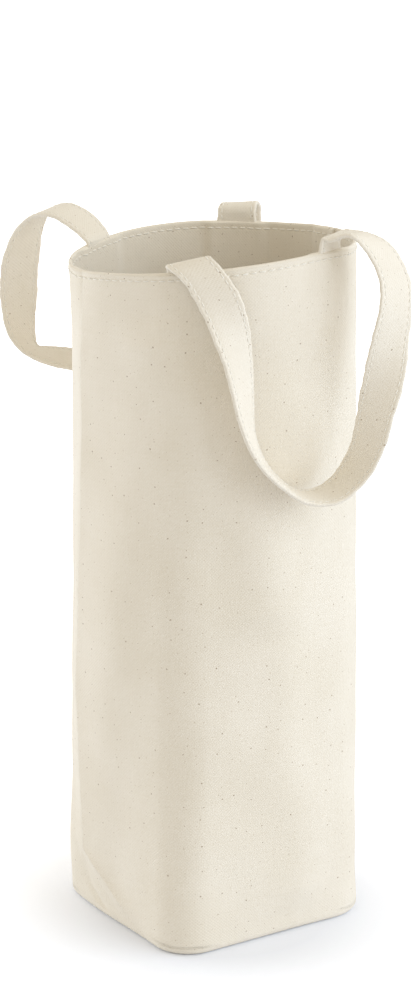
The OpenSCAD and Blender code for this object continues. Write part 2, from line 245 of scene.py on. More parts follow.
# The handles beside each root, from just above the tucked end on, in millimetres: along the rim away from the
# handle's middle, outward and up from the rim's outer top edge, each with the direction to the edge that lies
# away from the handle's middle
FRONT_LEFT_ROOT = [
    [[0.6, -1.85, 1.5], [1, 0, -0.05]],
    [[0.5, -1.85, 4.2], [0.97, 0, -0.16]],
    [[0.3, -1.1, 6], [0.96, 0.05, -0.23]],
    [[-0.5, 0.5, 6.5], [0.96, 0.12, -0.23]],
    [[-2.2, 2, 5.6], [0.97, 0.18, -0.18]],
    [[-4.6, 3.1, 3.9], [0.97, 0.22, -0.11]],
    [[-7.5, 3.9, 1.2], [0.97, 0.22, -0.06]],
    [[-10.6, 4.4, -2.6], [0.97, 0.22, -0.05]],
    [[-13.6, 4.7, -7.6], [0.96, 0.26, -0.08]],
    [[-16.4, 5, -13.8], [0.9, 0.42, -0.12]],
]
FRONT_RIGHT_ROOT = [
    [[-3, -1.85, 2.5], [1, 0, -0.02]],
    [[-3, -1.8, 5.6], [0.99, 0, -0.05]],
    [[-3, -0.9, 7.5], [0.99, 0, 0]],
    [[-2.8, 1, 7.7], [0.99, 0, 0.1]],
    [[-2.5, 3.3, 8], [0.99, -0.03, 0.04]],
    [[-2.2, 5.8, 8.7], [0.98, -0.07, -0.06]],
    [[-1.8, 8.6, 9], [0.98, -0.1, -0.12]],
    [[-0.9, 11.4, 8.2], [0.99, -0.08, -0.1]],
    [[0.6, 14.2, 6.3], [1, 0, -0.05]],
    [[2.4, 17.2, 3.2], [0.99, 0.1, 0]],
    [[3.3, 20.2, -1.2], [0.98, 0.18, 0.04]],
    [[3.2, 25, -11.7], [0.95, 0.31, 0.08]],
]
BACK_LEFT_ROOT = [
    [[1.2, -1.75, -2.6], [1, 0.03, 0]],
    [[0.6, -0.4, -0.8], [0.99, 0.08, 0]],
    [[-0.4, 2.2, 0.8], [0.98, 0.16, -0.02]],
    [[-1.2, 6.2, 3.3], [0.98, 0.18, -0.07]],
    [[-1.7, 11.5, 5.9], [0.98, 0.14, -0.14]],
    [[-1.8, 17.5, 7.9], [0.98, 0.04, -0.16]],
    [[-1.7, 24.2, 7.6], [0.99, 0.02, -0.1]],
    [[-1.9, 30.6, 4.3], [0.99, 0.08, -0.06]],
    [[-2.3, 35.9, -2.1], [0.93, 0.32, -0.14]],
    [[-2.2, 39.4, -11.7], [0.82, 0.52, -0.19]],
    [[-1.3, 40.6, -22], [0.7, 0.68, -0.12]],
    [[-0.5, 40.5, -34], [0.8, 0.6, -0.01]],
    [[0, 40, -43.5], [0.93, 0.32, 0.14]],
    [[0.3, 38.7, -49.7], [0.96, 0.17, 0.24]],
    [[-0.1, 36.6, -53.9], [0.98, -0.04, 0.16]],
    [[-1.7, 34.4, -56.4], [0.94, -0.3, 0.02]],
    [[-4.4, 31.3, -57.9], [0.89, -0.44, -0.13]],
    [[-8.4, 28, -59.6], [0.8, -0.52, -0.28]],
]
BACK_RIGHT_ROOT = [
    [[0, -1.85, -1.2], [1, 0, 0.03]],
    [[0, -1.8, 1.4], [0.99, 0, 0.08]],
    [[0.1, -0.8, 3.2], [0.98, 0.05, 0.12]],
    [[0.2, 1.2, 3.9], [0.98, 0.08, 0.1]],
    [[0.3, 4.6, 3.6], [0.99, 0, 0.07]],
    [[0.4, 9.4, 1.8], [0.99, -0.11, 0.05]],
]


# Camera at the photograph's place: how far it looks down, and how far it is turned
CAMERA_PLACE = (-0.6226, -0.9747, 0.5330)
CAMERA_DOWN = 16.7
CAMERA_TURN = -32.4
CAMERA_LENS = 100.8
CAMERA_REACH = 50

camera = bpy.data.objects.new("camera", bpy.data.cameras.new("camera"))
bpy.context.scene.collection.objects.link(camera)
camera.location = CAMERA_PLACE
camera.rotation_euler = (math.radians(90 - CAMERA_DOWN), 0, math.radians(CAMERA_TURN))
camera.data.lens = CAMERA_LENS
camera.data.clip_end = CAMERA_REACH
bpy.context.scene.camera = camera


# Plan of the bag


def cosd(turn):
    return np.cos(np.radians(turn))


def sind(turn):
    return np.sin(np.radians(turn))


def unit(v):
    v = np.asarray(v, float)
    return v / np.linalg.norm(v, axis=-1, keepdims=True)


def turn_between(a, b):
    return np.abs((a - b + 540) % 360 - 180)


def oval_r(turn):
    along_long = 2 * cosd(turn - MOUTH_TURN) / MOUTH_LONG
    along_short = 2 * sind(turn - MOUTH_TURN) / MOUTH_SHORT
    return 1 / np.sqrt(along_long**2 + along_short**2)


def square_r(turn):
    c, s = np.abs(cosd(turn)), np.abs(sind(turn))
    flat_x, flat_y = BASE_W / 2 - CORNER_R, BASE_D / 2 - CORNER_R
    side = np.minimum(BASE_W / 2 / np.maximum(c, 1e-6), BASE_D / 2 / np.maximum(s, 1e-6))
    reach = c * flat_x + s * flat_y
    rest = reach**2 - flat_x**2 - flat_y**2 + CORNER_R**2
    in_corner = (side * c > flat_x) & (side * s > flat_y)
    return np.where(in_corner, reach + np.sqrt(np.maximum(rest, 0)), side)


def blend_share(share):
    """Share of the turn from the base's square to the mouth's oval, smooth through the CAD's four values."""
    return share * (2.883 + share * (-4.05 + 2.167 * share))


def bulge(turn, share):
    out = 0
    for middle, shares, heights in BULGES:
        near = np.clip(1 - turn_between(turn, middle) / BULGE_SPAN, 0, 1)
        out = out + np.interp(share, shares, heights) * MM * np.sin(np.pi / 2 * near) ** 2
    return out


def plan_r(turn, share):
    b = blend_share(np.clip(share, 0, 1))
    return (1 - b) * square_r(turn) + b * oval_r(turn) + bulge(turn, share)


def even_rim_z(turn):
    return BAG_H + RIM_RISE * cosd(turn) - RIM_WAVE * cosd(2 * turn)


def rim_z(turn):
    sag = np.mean([np.interp(turn + step, *RIM_SAG, period=360) for step in (-8, -4, 0, 4, 8)], axis=0)
    return even_rim_z(turn) + sag * MM


def seam_turn(share, side):
    return np.interp(share, *SEAM_TURNS) + (180 if side == "right" else 0)


def turned(turn, r, z):
    turn, r, z = np.broadcast_arrays(turn, r, z)
    return np.stack([r * cosd(turn), r * sind(turn), z], -1)


def lengths_along(points):
    return np.concatenate([[0], np.cumsum(np.linalg.norm(np.diff(points, axis=0), axis=1))])


def length_between(turn, at, share):
    return np.radians(turn_between(turn, at)) * plan_r(turn, share)


def bump(distance, width):
    return np.exp(-((distance / width) ** 2))


def smooth_step(x):
    x = np.clip(x, 0, 1)
    return x * x * (3 - 2 * x)


# How far the cloth stands out from the CAD's plan: folds, seams and stitch dents


def fold_height(turn, share, heights, turns, size, width):
    """Height of one pressed fold, which fades out past both its ends."""
    z = share * BAG_H
    at = np.interp(z, heights, turns)
    ends = np.clip((z - heights[0]) / FOLD_FADE + 1, 0, 1) * np.clip((heights[-1] - z) / FOLD_FADE + 1, 0, 1)
    return size * ends * bump(length_between(turn, at, share), width)


def relief(turn, share, front):
    """How far the outer face stands out at a turn and a share of the height."""
    z = share * BAG_H
    below = BAG_H - z
    seam = np.minimum(*(length_between(turn, seam_turn(share, side), share) for side in ("left", "right")))
    above = z - EDGE_R
    a = np.radians(turn)
    out = CROSS_WAVE * np.sin(9 * a + 47 * z) * np.sin(3 * a - 80 * z)
    for size, waves, twist, start in WAVES:
        out += size * np.sin(waves * a + twist * z + start)
    out *= np.clip(below / WAVE_RIM_FADE, 0, 1) * smooth_step(above / WAVE_FOOT_FADE)
    # the side seams stand out as soft corners below the mouth
    pinch = np.clip((below - PINCH_BELOW) / PINCH_RIM_FADE, 0, 1) * smooth_step(above / PINCH_FOOT_FADE)
    out += PINCH * np.exp(-seam / PINCH_W) * pinch
    for heights, turns, size, width in FOLDS:
        out += fold_height(turn, share, heights, turns, size, width)
    # the sewn-in allowance lies to the back and shows as a ridge
    if not front:
        ridge = smooth_step((SEAM_W + RIDGE_PAST - seam) / RIDGE_SLOPE) * smooth_step(seam / RIDGE_SEAM_FADE)
        out += RIDGE * ridge * smooth_step(above / RIDGE_FOOT_FADE)
    out -= GROOVE * bump(seam, GROOVE_W)
    # the tucked handle ends press through a little
    return out + TUCK_PRESS * root_lift(turn, share, front)


def rim_lengths(front):
    """Turns and lengths along one half of the rim, from seam to seam."""
    turns = seam_turn(1, "left" if front else "right") + np.linspace(0, 180, RIM_SAMPLES)
    return turns, lengths_along(turned(turns, oval_r(turns), rim_z(turns)))


def stitch_dent(turn, below, front):
    """Depth of the row of stitching below the rim, deepest at the needle's holes."""
    turns, lengths = rim_lengths(front)
    at = np.interp(turn, turns, lengths)
    count = round(lengths[-1] / RIM_PITCH)
    pitch = lengths[-1] / count
    to_hole = np.abs((at / pitch + 0.5) % 1 - 0.5) * pitch
    row = bump(below - STITCH_BELOW, DENT_W)
    return row * (ROW_DENT + HOLE_DENT * bump(to_hole, DENT_W))


def eased(share):
    """The share at which the plan is taken: near the foot the wall starts upright and leans over gently."""
    z = np.asarray(share, float) * BAG_H - EDGE_R
    lag = np.clip((EASE_BACK * FOOT_EASE - z) / ((EASE_BACK - 1) * FOOT_EASE), 0, 1)
    above = z - FOOT_EASE / 2 * lag
    z = np.where(z < FOOT_EASE, np.maximum(z, 0) ** 2 / (2 * FOOT_EASE), above)
    return (z + EDGE_R) / BAG_H


def wall_point(turn, share, depth, front=None):
    """A point at a depth below the wall's outer face, which has its relief only where a half is named."""
    r = plan_r(turn, eased(share)) - depth
    if front is not None:
        r = r + relief(turn, share, front)
    return turned(turn, r, share * rim_z(turn))


def edge_point(turn, bend, depth):
    """A point in the rounded edge between base and wall, from 0 degrees at the base to 90 at the wall."""
    share = EDGE_R / BAG_H
    r = plan_r(turn, share) - EDGE_R + (EDGE_R - depth) * sind(bend)
    return turned(turn, r, EDGE_R - (EDGE_R - depth) * cosd(bend))


def base_corner(side):
    turn = seam_turn(0, side)
    r = plan_r(turn, EDGE_R / BAG_H) - EDGE_R
    return turned(turn, r, 0)


def bottom_line(part, z):
    """Points on the bottom seam, by the share of its length from the left, and the level way to its back."""
    a, b = base_corner("left"), base_corner("right")
    across = unit(b - a)
    back = np.array([-across[1], across[0], 0])
    part = np.asarray(part, float)[:, None]
    line = a + part * (b - a) + SEAM_BOW * np.sin(np.pi * part) * back
    line[:, 2] = z
    return line, back


def seam_lift(turn, share):
    """Room that the hem leaves for the side seams' allowance."""
    lift = 0
    for side, way in (("left", -1), ("right", 1)):
        middle = seam_turn(share, side) + way * np.degrees(SEAM_W / 2 / MEAN_R)
        distance = length_between(turn, middle, share)
        lift = np.maximum(lift, smooth_step((SEAM_W / 2 + SEAM_ROOM + SEAM_SLOPE - distance) / SEAM_SLOPE))
    return lift * (SEAM_T + CLOTH_GAP)


def tuck_turn(handle, way, aside):
    """Turn of a handle's tucked end, which lies a length aside of its root."""
    at = handle["turn"] + way * ROOT_TURN
    return at + way * np.degrees(aside / oval_r(at))


def root_lift(turn, share, front):
    """Room that the hem leaves for the handle ends sewn behind it."""
    handle = HANDLES["front_handle" if front else "back_handle"]
    lift = 0
    for (way, _), aside in zip(handle["roots"], handle["asides"]):
        distance = length_between(turn, tuck_turn(handle, way, aside), share)
        lift = np.maximum(lift, smooth_step((STRAP_W / 2 + TUCK_ROOM - distance) / TUCK_SLOPE))
    return lift * smooth_step((TUCK_L + TUCK_BELOW - (1 - share) * BAG_H) / TUCK_FADE)


def hem_lift(turn, share, front):
    lift = root_lift(turn, share, front) * (STRAP_T + CLOTH_GAP)
    return lift if front else np.maximum(lift, seam_lift(turn, share))


# Meshes


def make_object(name, points, faces, cloth=None, flat_from=None):
    """A mesh object, shaded smooth up to the face where the flat ones start.

    The cloth's own coordinates are metres along the weft and along the warp, and a number for the layer.
    """
    mesh = bpy.data.meshes.new(name)
    mesh.from_pydata([tuple(p) for p in points], [], faces)
    mesh.update()
    work = bmesh.new()
    work.from_mesh(mesh)
    bmesh.ops.recalc_face_normals(work, faces=work.faces[:])
    work.to_mesh(mesh)
    work.free()
    last = len(faces) if flat_from is None else flat_from
    mesh.polygons.foreach_set("use_smooth", [k < last for k in range(len(faces))])
    if cloth is not None:
        attribute = mesh.attributes.new("cloth", "FLOAT_VECTOR", "POINT")
        attribute.data.foreach_set("vector", np.asarray(cloth, np.float32).ravel())
    obj = bpy.data.objects.new(name, mesh)
    bpy.context.scene.collection.objects.link(obj)
    return obj


def spaced(lengths, step):
    """The lengths, with each stretch between two of them split evenly into steps no longer than asked."""
    out = [lengths[0]]
    for a, b in zip(lengths, lengths[1:]):
        count = max(1, math.ceil(abs(b - a) / step - 1e-6))
        out += [a + (b - a) * k / count for k in range(1, count + 1)]
    return out


def half_columns():
    """Parts of the way round one half of the bag, closer together at the side seams."""
    middle = spaced([NEAR_SEAM[-1], HALF_ROUND - NEAR_SEAM[-1]], COLUMN_STEP)[1:-1]
    lengths = NEAR_SEAM + middle + [HALF_ROUND - d for d in NEAR_SEAM[::-1]]
    return np.array(lengths) / HALF_ROUND


def bag_half(name, front):
    """Half of the bag's cloth, one closed mesh: up the outside, over the rim, down the hem and inside."""
    first_side = "left" if front else "right"
    part = half_columns()
    gap = np.degrees(MEETING_GAP / 2 / MEAN_R)
    count = len(part)
    rows, cloth, key = [], [], {}

    def turns(share):
        return seam_turn(share, first_side) + gap + part * (180 - 2 * gap)

    def add(points, along, up, layer, mark=None):
        rows.append(points)
        cloth.append(np.stack([along, np.broadcast_to(up, along.shape), np.full(along.shape, layer)], -1))
        if mark is not None:
            key[mark] = len(rows) - 1

    def base_rows(depth, layer, way):
        line, back = bottom_line(part if front else 1 - part, depth)
        line = line + (-1 if front else 1) * MEETING_GAP / 2 * back
        rim = edge_point(turns(0), 0, depth)
        for step in range(BASE_STEPS + 1)[::way]:
            q = step / BASE_STEPS
            points = line * (1 - q) + rim * q
            points[:, 2] = depth
            add(points, points[:, 0], points[:, 1], layer, (layer, "base", step))

    def bend_rows(depth, layer, way):
        for bend in BENDS[::way]:
            turn = turns(0)
            points = edge_point(turn, bend, depth)
            add(points, np.radians(turn) * MEAN_R, points[:, 2], layer, (layer, "bend", bend))

    def wall_row(share, depth, layer, mark=None):
        turn = turns(share)
        points = wall_point(turn, share, depth, front)
        add(points, np.radians(turn) * MEAN_R, points[:, 2], layer, mark)

    belows = NEAR_RIM + spaced([NEAR_RIM[-1], HEM_H], HEM_STEP)[1:]
    belows += spaced([HEM_H, BAG_H - LAST_ROWS[0]], WALL_STEP)[1:] + [BAG_H - LAST_ROWS[1]]
    shares = [1 - below / BAG_H for below in belows[::-1]]
    hem_share = 1 - HEM_H / BAG_H
    in_hem = [share for share in shares if share >= hem_share - 1e-9]

    base_rows(0, 0, 1)
    bend_rows(0, 0, 1)
    for share in shares:
        wall_row(share, stitch_dent(turns(share), BAG_H * (1 - share), front), 0, (0, "wall", share))
    # over the rim
    top = turns(1)
    inner = HEM_IN + hem_lift(top, 1, front)
    for bend in RIM_BENDS:
        depth = inner / 2 * (1 - math.cos(math.pi * bend))
        z = rim_z(top) - RIM_ARCH + RIM_ARCH * math.sin(math.pi * bend)
        r = plan_r(top, 1) + relief(top, 1, front) - depth
        add(turned(top, r, z), np.radians(top) * MEAN_R, z + depth, 0.5)
    # down the hem's inner side
    for share in in_hem[::-1]:
        turn = turns(share)
        dent = INNER_DENT_SHARE * stitch_dent(turn, BAG_H * (1 - share), front)
        wall_row(share, HEM_IN + hem_lift(turn, share, front) - dent, 1, (1, "wall", share))
    # the hem's lower edge, turned under
    lift = hem_lift(turns(hem_share), hem_share, front)
    for part_in, drop in HEM_EDGE:
        depth = CANVAS_T + (HEM_IN - CANVAS_T + lift) * part_in
        wall_row(hem_share - drop / BAG_H, depth, 1)
    # down the wall's inner side and over the base's
    for share in shares[::-1][len(in_hem):]:
        wall_row(share, CANVAS_T, 2, (1, "wall", share))
    bend_rows(CANVAS_T, 1, -1)
    base_rows(CANVAS_T, 1, -1)

    faces = []
    total = len(rows)
    for i in range(total):
        a, b = i * count, (i + 1) % total * count
        for j in range(count - 1):
            faces.append((a + j, a + j + 1, b + j + 1, b + j))
    wall_faces = len(faces)
    # flat faces close both ends, between the outer rows and the inner rows that match them
    outer = sorted((i, mark) for mark, i in key.items() if mark[0] == 0)
    matched = [(i, key[(1, *mark[1:])]) for i, mark in outer]
    loops = [[o1, o2, *range(i2, i1 + 1)] for (o1, i1), (o2, i2) in zip(matched, matched[1:])]
    loops.append(range(matched[-1][0], matched[-1][1] + 1))
    for loop in loops:
        faces.append([k * count for k in loop])
        faces.append([k * count + count - 1 for k in loop][::-1])
    return make_object(name, np.concatenate(rows), faces, np.concatenate(cloth), wall_faces)


def sheet_of(name, near, far, cloth):
    """A closed piece of cloth between two grids of points."""
    near, far = np.asarray(near), np.asarray(far)
    rows, columns = near.shape[:2]
    count = rows * columns
    faces = []
    for i in range(rows - 1):
        for j in range(columns - 1):
            a = i * columns + j
            quad = [a, a + 1, a + columns + 1, a + columns]
            faces.append(quad)
            faces.append([count + k for k in quad[::-1]])
    flat_from = len(faces)
    around = list(range(columns))
    around += [i * columns + columns - 1 for i in range(1, rows)]
    around += [(rows - 1) * columns + j for j in range(columns - 2, -1, -1)]
    around += [i * columns for i in range(rows - 2, 0, -1)]
    for a, b in zip(around, around[1:] + around[:1]):
        faces.append([a, b, count + b, count + a])
    points = np.concatenate([near.reshape(-1, 3), far.reshape(-1, 3)])
    cloth = cloth.reshape(-1, 3)
    return make_object(name, points, faces, np.concatenate([cloth, cloth + [0, 0, 1]]), flat_from)


def side_allowance(name, side):
    """A side seam's two sewn layers, folded to the back against the wall, from near the base to the hem."""
    way = -1 if side == "left" else 1
    shares = spaced([*SIDE_SEAM_FOOT, 1 - (HEM_H - 0.001) / BAG_H], 0.008)
    parts = np.linspace(0, 1, 9)
    thin = np.where(parts > 0.97, ALLOWANCE_EDGE, 0)
    near, far, cloth = [], [], []
    for share in shares:
        seam = seam_turn(share, side)
        turn = seam + way * (0.15 + parts * np.degrees(SEAM_W / plan_r(seam, share)))
        wave = 0.0003 * np.sin(share * 190) * parts
        near.append(wall_point(turn, share, LAYER_DEPTH - 0.0001 + wave + thin, False))
        far.append(wall_point(turn, share, LAYER_DEPTH + SEAM_T + wave - thin, False))
        cloth.append(np.stack([np.radians(turn) * MEAN_R, np.full(9, share * BAG_H), np.full(9, 3.0)], -1))
    return sheet_of(name, near, far, np.array(cloth))


def base_allowance(name, row):
    """Two sewn layers on the base: row gives their points at a share of the width and at a height."""
    layers = []
    for z in (LAYER_DEPTH, LAYER_DEPTH + SEAM_T):
        layers.append(np.array([row(q, z) for q in np.linspace(0, 1, 7)]))
    cloth = layers[0].copy()
    cloth[:, :, 2] = 3
    return sheet_of(name, *layers, cloth)


def corner_allowance(name, side):
    middle = seam_turn(0, side)
    half = np.degrees(CORNER_SEAM_L / 2 / plan_r(middle, 0))
    turns = middle + half * np.linspace(-1, 1, 41)

    def row(q, z):
        inset = EDGE_R + SEAM_W + q * (ALLOWANCE_EDGE - SEAM_W)
        lift = ALLOWANCE_WAVE * (np.sin(np.radians(turns) * 30) + 1) * (inset - EDGE_R) / SEAM_W
        return turned(turns, plan_r(turns, 0) - inset, z + lift)

    return base_allowance(name, row)


def bottom_allowance(name):
    # it stops short of the corner seams' allowances
    inset = 1.75 * SEAM_W / np.linalg.norm(base_corner("right") - base_corner("left"))
    parts = np.linspace(inset, 1 - inset, 41)

    def row(q, z):
        line, back = bottom_line(parts, z)
        points = line + (CLOTH_GAP / 2 + q * SEAM_W) * back
        points[:, 2] = z + ALLOWANCE_WAVE * (np.sin(parts * 24) + 1) * q
        return points

    return base_allowance(name, row)


# Handles


def strap_frame(turn, rise):
    """A handle's own axes: the middle between its folds, the ways across, out and up, and half its span."""
    depth = LAYER_DEPTH + STRAP_T / 2
    roots = []
    for way in (-1, 1):
        at = turn + way * ROOT_TURN
        roots.append(turned(at, oval_r(at) - depth, even_rim_z(at) + rise))
    a, b = roots
    across = unit(b - a)
    level = np.array([cosd(turn), sind(turn), 0])
    out = unit(level - level @ across * across)
    up = np.cross(across, out)
    up = -up if up[2] < 0 else up
    return (a + b) / 2, across, out, up, np.linalg.norm(b - a) / 2


def handle_reach(turn, origin, out):
    """How far out the loop hangs to clear the wall at its lowest."""
    share = 1 - HANDLE_DROP / BAG_H
    b = np.interp(share, *PLAN_BLEND)
    r = (1 - b) * square_r(turn) + b * oval_r(turn)
    point = turned(turn, r, share * even_rim_z(turn))
    return (point - origin) @ out + HANDLE_CLEAR + STRAP_W / 2


def through(rows, step):
    """Smooth curve through rows of values whose first three are a place. Also gives the row numbers."""
    p = np.asarray(rows, float)
    gaps = np.linalg.norm(np.diff(p[:, :3], axis=0), axis=1)
    slopes = np.diff(p, axis=0) / gaps[:, None]
    between = slopes[1:] * gaps[:-1, None] + slopes[:-1] * gaps[1:, None]
    between /= (gaps[1:] + gaps[:-1])[:, None]
    lean = np.concatenate([slopes[:1], between, slopes[-1:]])
    out, at = [], []
    for i, gap in enumerate(gaps):
        count = max(1, math.ceil(gap / step))
        for t in np.arange(count) / count:
            ends = (2 * t**3 - 3 * t**2 + 1) * p[i] + (3 * t**2 - 2 * t**3) * p[i + 1]
            out.append(ends + gap * ((t**3 - 2 * t**2 + t) * lean[i] + (t**3 - t**2) * lean[i + 1]))
            at.append(i + t)
    out.append(p[-1])
    at.append(len(p) - 1)
    return np.array(out), np.array(at)


def root_axes(turn, way):
    """The rim's outer top edge at a handle's root, with the ways along the rim, outward and up there."""
    at = turn + way * ROOT_TURN
    along = np.array([-sind(at), cosd(at), 0]) * way
    out = np.array([cosd(at), sind(at), 0])
    return turned(at, oval_r(at), even_rim_z(at)), np.stack([along, out, [0, 0, 1]])


def smoothed(values, shares, rounds):
    """Rows of values, each drawn towards the mean of its neighbours by its share, some rounds over."""
    for _ in range(rounds):
        middle = (values[:-2] + values[2:]) / 2
        values[1:-1] += 0.5 * shares[1:-1, None] * (middle - values[1:-1])
    return values


class Strap:
    """A ribbon along a route, addressed by its length, the place across it and the height off its middle."""

    def __init__(self, handle):
        (first, first_table), (second, second_table) = handle["roots"]
        origin, across, out, up, half = strap_frame(handle["turn"], handle["rise"])
        axes = np.stack([across, out, up])
        sizes = np.array([half, handle_reach(handle["turn"], origin, out), HANDLE_DROP])
        rows = self.root_rows(handle, first, handle["asides"][0], first_table)
        for middle, edge in handle["loop"]:
            rows.append([*(origin + (np.array(middle) * sizes) @ axes), *unit(np.array(edge, float) @ axes)])
        rows += self.root_rows(handle, second, handle["asides"][1], second_table)[::-1]
        self.count = len(rows)
        curve, self.at = through(rows, ROUTE_STEP)
        # the loop is softened, but not the sharp folds over the rim
        from_fold = np.minimum(self.at, self.at[-1] - self.at) - SOFT_FROM
        soft = np.clip(from_fold / SOFT_ROWS, 0, 1)
        easy = smoothed(curve.copy(), soft, SOFT_ROUNDS)
        curve = easy + smoothed(curve - easy, soft, SOFT_ROUNDS)
        self.p = curve[:, :3]
        self.e = unit(curve[:, 3:])
        self.s = lengths_along(self.p)
        square = np.cross(unit(np.gradient(self.p, axis=0)), self.e)
        self.slant = np.minimum(1 / np.linalg.norm(square, axis=1), MOST_SLANT)
        self.n = unit(square)
        # across its width the tucked end follows the wall's curve
        tucked = np.clip(TUCK_ROWS + 1 - np.minimum(self.at, self.at[-1] - self.at), 0, 1)
        outward = np.sum(self.n[:, :2] * unit(self.p[:, :2]), axis=1)
        self.bow = -np.sign(outward) * tucked / (MOUTH_LONG + MOUTH_SHORT) * 2

    def root_rows(self, handle, way, aside, table):
        at = tuck_turn(handle, way, aside)
        rows = []
        for below in (TUCK_L, TUCK_L / 2, STITCH_BELOW):
            here, there = wall_point(np.array([at, at + way]), 1 - below / BAG_H, LAYER_DEPTH + STRAP_T / 2)
            rows.append([*here, *(handle["edge_way"] * unit(there - here))])
        start, axes = root_axes(handle["turn"], way)
        for place, edge in table:
            edge = handle["edge_way"] * unit(np.array(edge, float) @ axes)
            rows.append([*(start + np.array(place, float) * MM @ axes), *edge])
        return rows

    def place(self, s, x, h):
        """Points at lengths s, places x across and heights h, all arrays of one shape."""
        height = h + x * x * np.interp(s, self.s, self.bow)
        out = 0
        for k, scale in ((self.p, None), (self.e, x * np.interp(s, self.s, self.slant)), (self.n, height)):
            v = np.stack([np.interp(s, self.s, k[:, c]) for c in range(3)], -1)
            out = out + (v if scale is None else v * scale[..., None])
        return out

    def length_at(self, row):
        """Length along the strap at one of its rows, counted from the end where the row is negative."""
        return np.interp(row if row >= 0 else self.count + row, self.at, self.s)

    def ring(self, row):
        """Corners of the strap's section at a row."""
        x = np.array([-1, -1, 1, 1]) * STRAP_W / 2
        h = np.array([-1, 1, -1, 1]) * STRAP_T / 2
        return self.place(np.full(4, self.length_at(row)), x, h)


def half_thickness(x, s):
    """Half the strap's thickness across it: it dips at the stitching and rounds off at its edges."""
    g = np.abs(x)
    dip_at = STRAP_W / 2 - STITCH_IN
    wave = np.cos(2 * np.pi * s / STRAP_PITCH)
    h = STRAP_HALF - STRAP_DIP * bump(g - dip_at, STRAP_DIP_W) * (0.75 + 0.25 * wave)
    h = h + STRAP_WAVE * wave * np.clip((g - dip_at) / STITCH_IN + 1, 0, 1)
    round_in = np.clip((STRAP_W / 2 - g) / STRAP_EDGE, 0, 1)
    return h * np.sqrt(np.maximum(1 - (1 - round_in) ** 2, 0))


# Each handle's turn, the rise of its folds, the side and table of each root, how far its tucked ends lie
# aside of the roots, its loop, the sign of the edge that the tables name, and each fold's last row
HANDLES = {
    "front_handle": {
        "turn": FRONT_TURN,
        "rise": FRONT_RISE,
        "roots": ((-1, FRONT_LEFT_ROOT), (1, FRONT_RIGHT_ROOT)),
        "asides": (0.0006, -0.003),
        "loop": FRONT_LOOP,
        "edge_way": 1,
        "free_rows": (11, 12),
    },
    "back_handle": {
        "turn": BACK_TURN,
        "rise": BACK_RISE,
        "roots": ((1, BACK_LEFT_ROOT), (-1, BACK_RIGHT_ROOT)),
        "asides": (0.0012, 0),
        "loop": BACK_LOOP,
        "edge_way": -1,
        "free_rows": (8, 8),
    },
}


def ring_faces(first, rings, count, capped=(True, True)):
    """Faces between rings of points, counted from a first point, with the caps that are asked for."""
    faces = []
    for i in range(rings - 1):
        for k in range(count):
            a, b = first + i * count + k, first + i * count + (k + 1) % count
            faces.append((a, b, b + count, a + count))
    if capped[0]:
        faces.append(tuple(range(first, first + count))[::-1])
    if capped[1]:
        faces.append(tuple(range(first + (rings - 1) * count, first + rings * count)))
    return faces


def strap_part(name, strap, start, end, capped=(False, False)):
    """A stretch of the strap with its stitching, as one object with two materials."""
    inside = strap.s[(strap.s > start + 1e-5) & (strap.s < end - 1e-5)]
    lengths = np.concatenate([[start], inside, [end]])
    x = np.array([-c for c in STRAP_COLUMNS[::-1]] + [0] + STRAP_COLUMNS) * MM
    ring_x = np.concatenate([[-STRAP_W / 2], x, [STRAP_W / 2], x[::-1]])
    side = np.concatenate([[0], np.ones(len(x)), [0], -np.ones(len(x))])
    s = lengths[:, None] + 0 * ring_x[None, :]
    xs = ring_x[None, :] + 0 * s
    # the edges wander a little
    wobble = 0.00012 * np.sin(s * 410) + 0.00010 * np.sin(s * 983 + 1)
    ring_points = strap.place(s, xs * (1 + wobble / STRAP_W * 2), side[None, :] * half_thickness(xs, s))
    points = [ring_points.reshape(-1, 3)]
    cloth = [np.stack([xs, s, np.broadcast_to(side[None, :], s.shape)], -1).reshape(-1, 3)]
    faces = ring_faces(0, len(lengths), len(ring_x), capped)
    strap_faces = len(faces)
    gap, height, dive = STRAP_STITCH
    at = np.linspace(-1, 1, 7)
    for k in range(math.ceil(start / STRAP_PITCH - 0.5), math.floor(end / STRAP_PITCH - 0.5) + 1):
        middle = (k + 0.5) * STRAP_PITCH
        if not (start <= middle < end) or middle < BARE_END or middle > strap.s[-1] - BARE_END:
            continue
        along = middle + at * (STRAP_PITCH / 2 - gap)
        for edge in (-1, 1):
            for face in (-1, 1):
                across = edge * (STRAP_W / 2 - STITCH_IN) + STITCH_SLANT * at
                rise = half_thickness(across, along) + height - dive * np.abs(at) ** 3
                tube(strap.place(along, across, face * rise), points, faces, cloth)
    obj = make_object(name, np.concatenate(points), faces, np.concatenate(cloth))
    obj.data.materials.append(STRAP)
    obj.data.materials.append(THREAD)
    marks = [0] * strap_faces + [1] * (len(faces) - strap_faces)
    obj.data.polygons.foreach_set("material_index", marks)
    return obj


def tube(path, all_points, all_faces, all_cloth):
    """Adds a thread along a path, tapered at both ends."""
    path = np.asarray(path, float)
    way = unit(np.gradient(path, axis=0))
    ref = np.array([0, 0, 1.0]) if abs(way[len(way) // 2][2]) < 0.9 else np.array([1.0, 0, 0])
    side = unit(np.cross(way, ref))
    other = np.cross(way, side)
    angles = np.linspace(0, 2 * np.pi, THREAD_SIDES, endpoint=False)
    taper = np.ones(len(path))
    taper[0] = taper[-1] = THREAD_END_SHARE
    aside = np.cos(angles)[None, :, None] * side[:, None] + np.sin(angles)[None, :, None] * other[:, None]
    rings = path[:, None] + THREAD_R * taper[:, None, None] * aside
    all_faces += ring_faces(sum(len(p) for p in all_points), len(path), THREAD_SIDES)
    all_points.append(rings.reshape(-1, 3))
    across, along = np.broadcast_arrays(angles[None, :] * THREAD_R, lengths_along(path)[:, None])
    all_cloth.append(np.stack([across, along, np.full(across.shape, 5.0)], -1).reshape(-1, 3))


